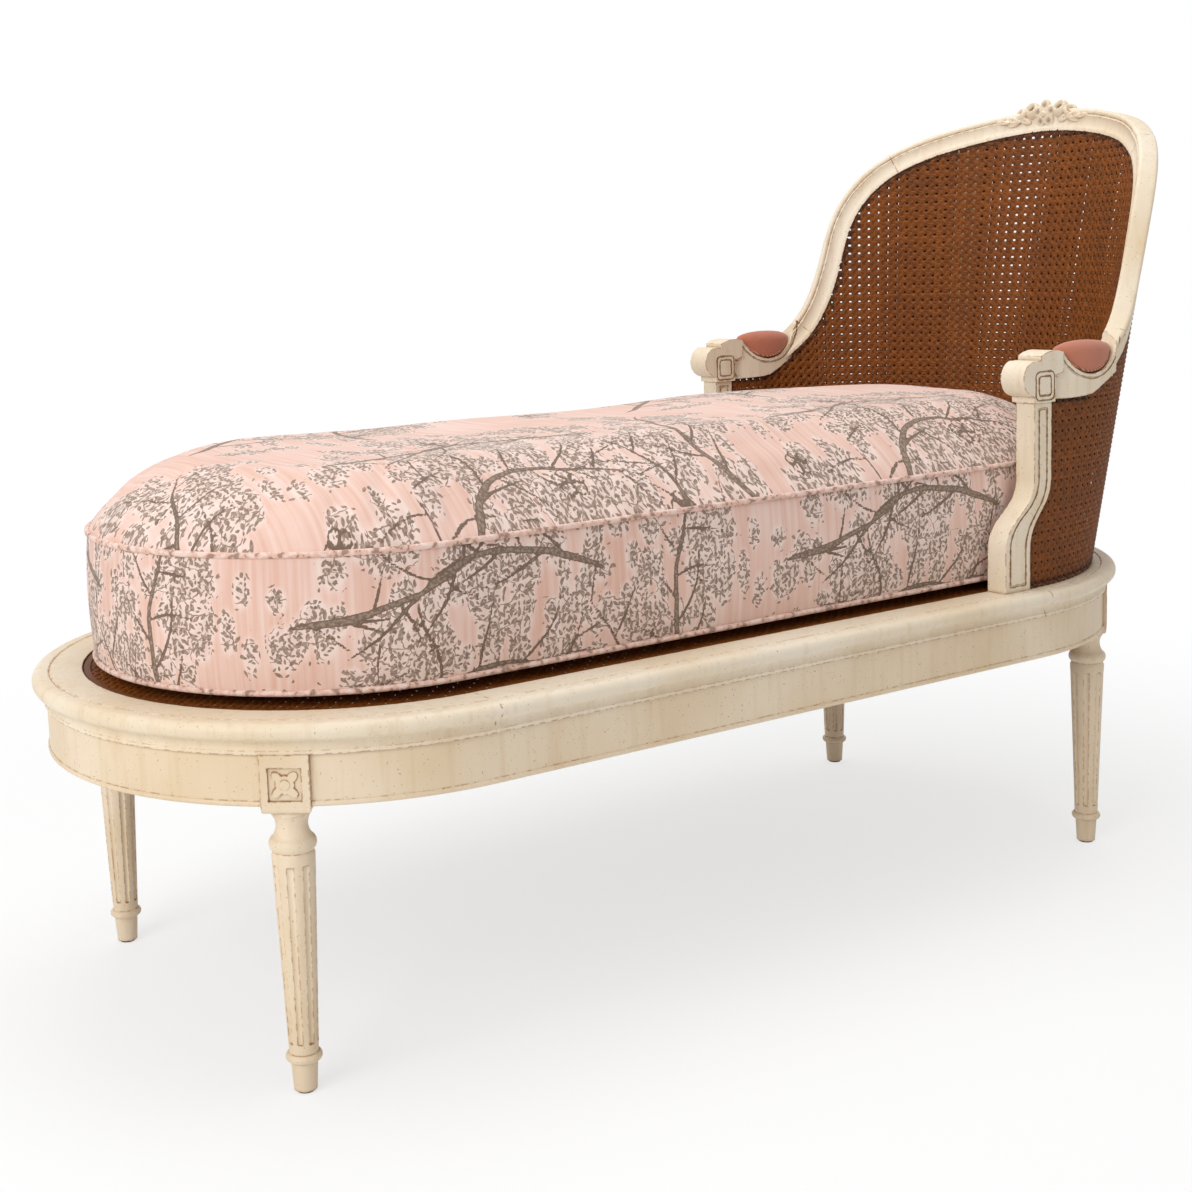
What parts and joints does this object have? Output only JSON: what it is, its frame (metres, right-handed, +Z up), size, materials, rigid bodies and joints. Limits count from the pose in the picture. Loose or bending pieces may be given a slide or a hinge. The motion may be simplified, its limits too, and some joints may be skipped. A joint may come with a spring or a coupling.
{
  "type": "meridienne",
  "caption": "Long caned seat with round ends on turned fluted legs, a caned barrel back with padded scroll arms at one end and a loose boxed squab.",
  "frame": {"origin": "on the floor under the middle of the whole piece, from the foot end to the top of the back", "axes": "+X along the seat to the head end with the back, +Y to the left for someone at the foot end who looks at the back, +Z up"},
  "size_m": [1.6436, 0.719, 1.0668],
  "materials": {
    "paint": "rubbed cream paint on beech",
    "bare_wood": "plain beech",
    "cane": "stained woven cane",
    "toile_cloth": "printed cotton",
    "pad_cloth": "plain woven cloth",
    "steel": "plain steel",
    "glide": "matte"
  },
  "bodies": {
    "frame": {"rail_foot": "paint", "rail_head": "paint", "rail_side_left": "paint", "rail_side_right": "paint", "cross_rail_foot": "bare_wood", "cross_rail_head": "bare_wood", "seat_cap_foot": "paint", "seat_cap_head": "paint", "seat_cap_left": "paint", "seat_cap_right": "paint", "seat_cane": "cane", "seat_cane_binder": "cane", "leg_foot_left": "paint", "leg_foot_right": "paint", "leg_head_left": "paint", "leg_head_right": "paint", "foot_glides": "glide", "top_rail": "paint", "back_stile_left": "paint", "back_stile_right": "paint", "frame_dowels": "bare_wood", "arm_left": "paint", "arm_right": "paint", "arm_pad_left": "pad_cloth", "arm_pad_right": "pad_cloth", "arm_support_left": "paint", "arm_support_right": "paint", "back_cane_inner": "cane", "back_cane_outer": "cane", "back_base_rail": "bare_wood", "back_rib_left": "bare_wood", "back_rib_right": "bare_wood", "back_screws": "steel", "crest_carving": "paint"},
    "squab": {"seat_cushion": "toile_cloth"}
  },
  "joints": [
    {"name": "squab_lift", "type": "slide", "parent": "frame", "child": "squab", "axis": [0, 0, 1], "range_m": [0, 0.68]}
  ]
}
